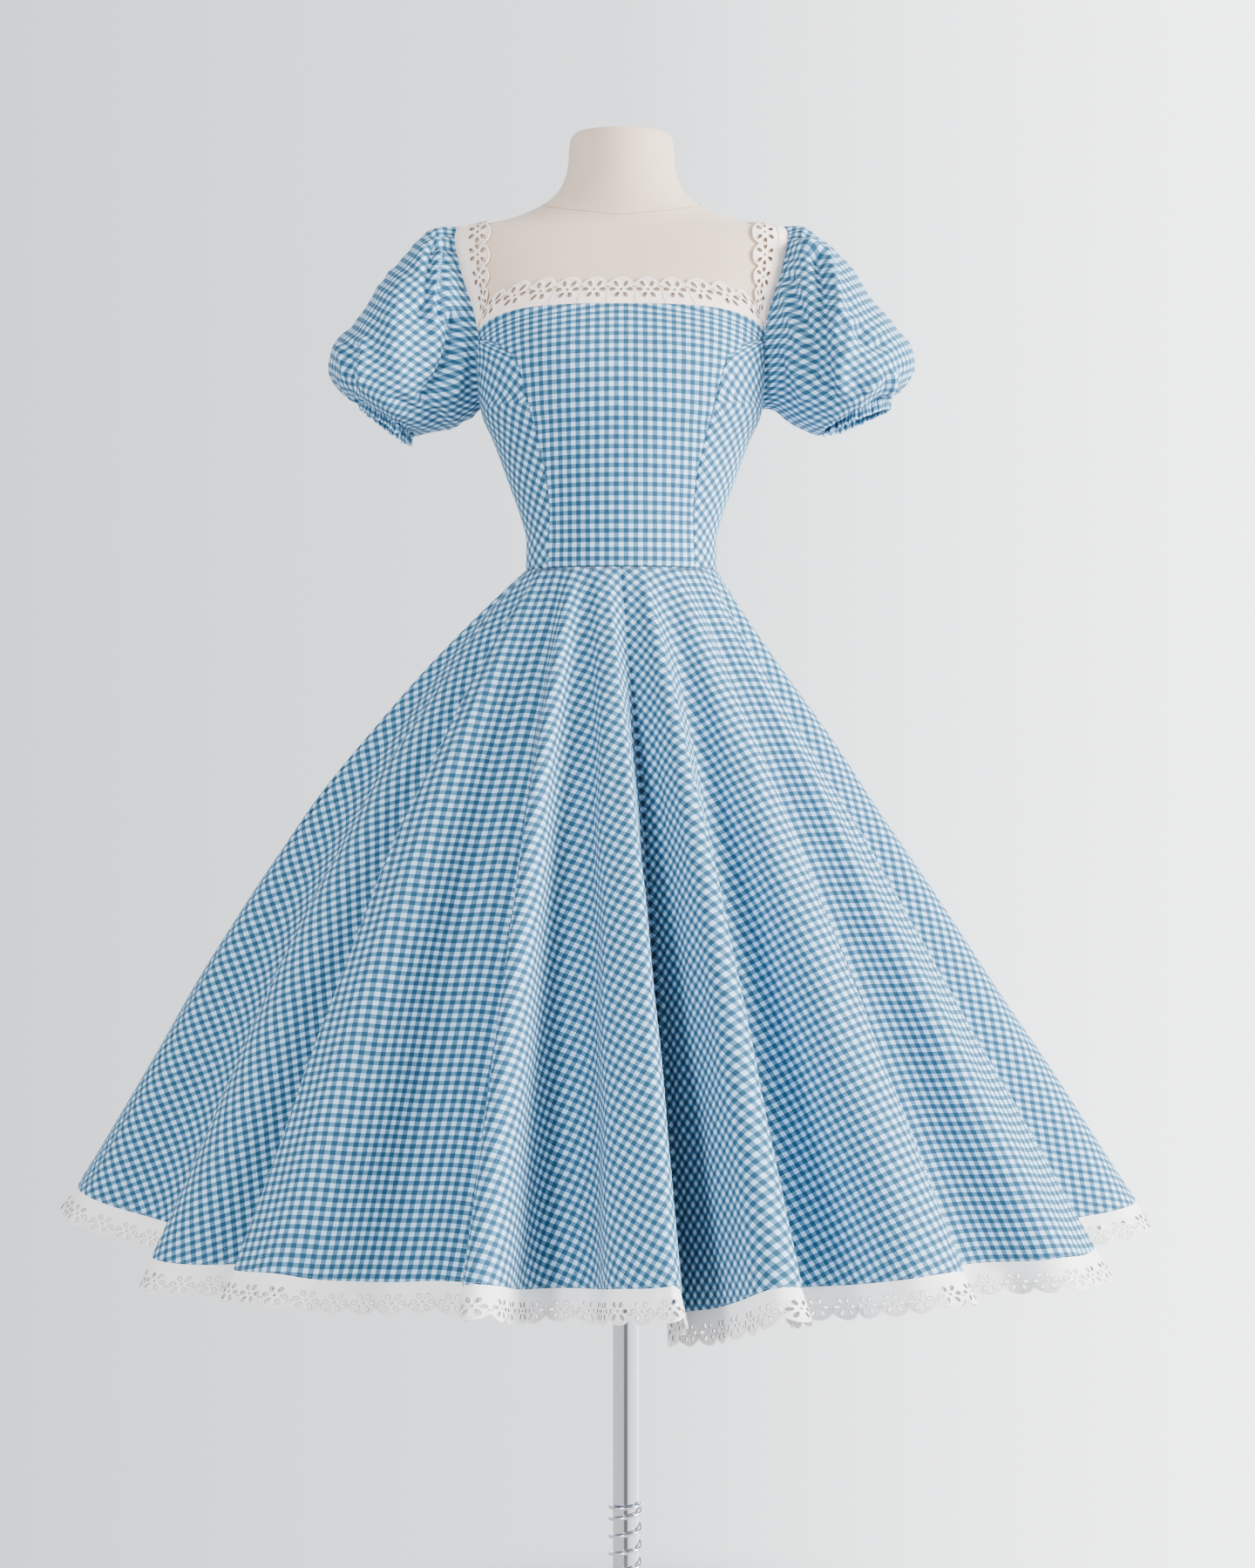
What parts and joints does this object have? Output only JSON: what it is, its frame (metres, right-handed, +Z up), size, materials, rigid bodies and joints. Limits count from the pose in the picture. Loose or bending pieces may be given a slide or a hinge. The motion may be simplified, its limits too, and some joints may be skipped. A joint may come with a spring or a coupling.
{
  "type": "summer dress on a limbless dress form with a pole stand",
  "caption": "Square-neck gingham summer dress with puff sleeves, circle skirt and eyelet edging, worn by a limbless dress form on a pole stand.",
  "frame": {"origin": "centre of the base's underside, on the pole's axis", "axes": "+Z up along the pole, -Y out of the front of the dress, +X to the right seen from the front"},
  "size_m": [1.2497, 1.1967, 1.7773],
  "materials": {
    "gingham": "woven cotton check",
    "eyelet": "embroidered cotton eyelet",
    "white_cotton": "plain woven cotton",
    "form_cover": "matte knitted cover",
    "chrome": "polished chrome plate",
    "spring_steel": "plated spring wire",
    "base_enamel": "pale enamel",
    "nickel": "satin nickel plate"
  },
  "bodies": {
    "dress_on_form": {"form_torso": "form_cover", "neck_knob": "chrome", "bodice_front": "gingham", "bodice_side_front_left": "gingham", "bodice_side_back_left": "gingham", "bodice_back_left": "gingham", "bodice_side_front_right": "gingham", "bodice_side_back_right": "gingham", "bodice_back_right": "gingham", "neck_lace_front": "eyelet", "neck_lace_back_left": "eyelet", "neck_lace_back_right": "eyelet", "strap_lace_left": "eyelet", "strap_band_left": "white_cotton", "strap_lace_right": "eyelet", "strap_band_right": "white_cotton", "sleeve_left": "gingham", "sleeve_right": "gingham", "skirt_front_left": "gingham", "hem_lace_front_left": "eyelet", "skirt_front_right": "gingham", "hem_lace_front_right": "eyelet", "skirt_back_right": "gingham", "hem_lace_back_right": "eyelet", "skirt_back_left": "gingham", "hem_lace_back_left": "eyelet", "zip_slider": "nickel", "stand_base": "base_enamel", "stand_hub": "chrome", "stand_pole": "chrome", "stand_spring": "spring_steel"},
    "zip_pull_tab": {"zip_pull": "nickel"}
  },
  "joints": [
    {"name": "zip_pull_hinge", "type": "hinge", "parent": "dress_on_form", "child": "zip_pull_tab", "pos_m": [-0.005, 0.10975, 1.54], "axis": [1, 0, 0], "range_deg": [0, 150]}
  ]
}
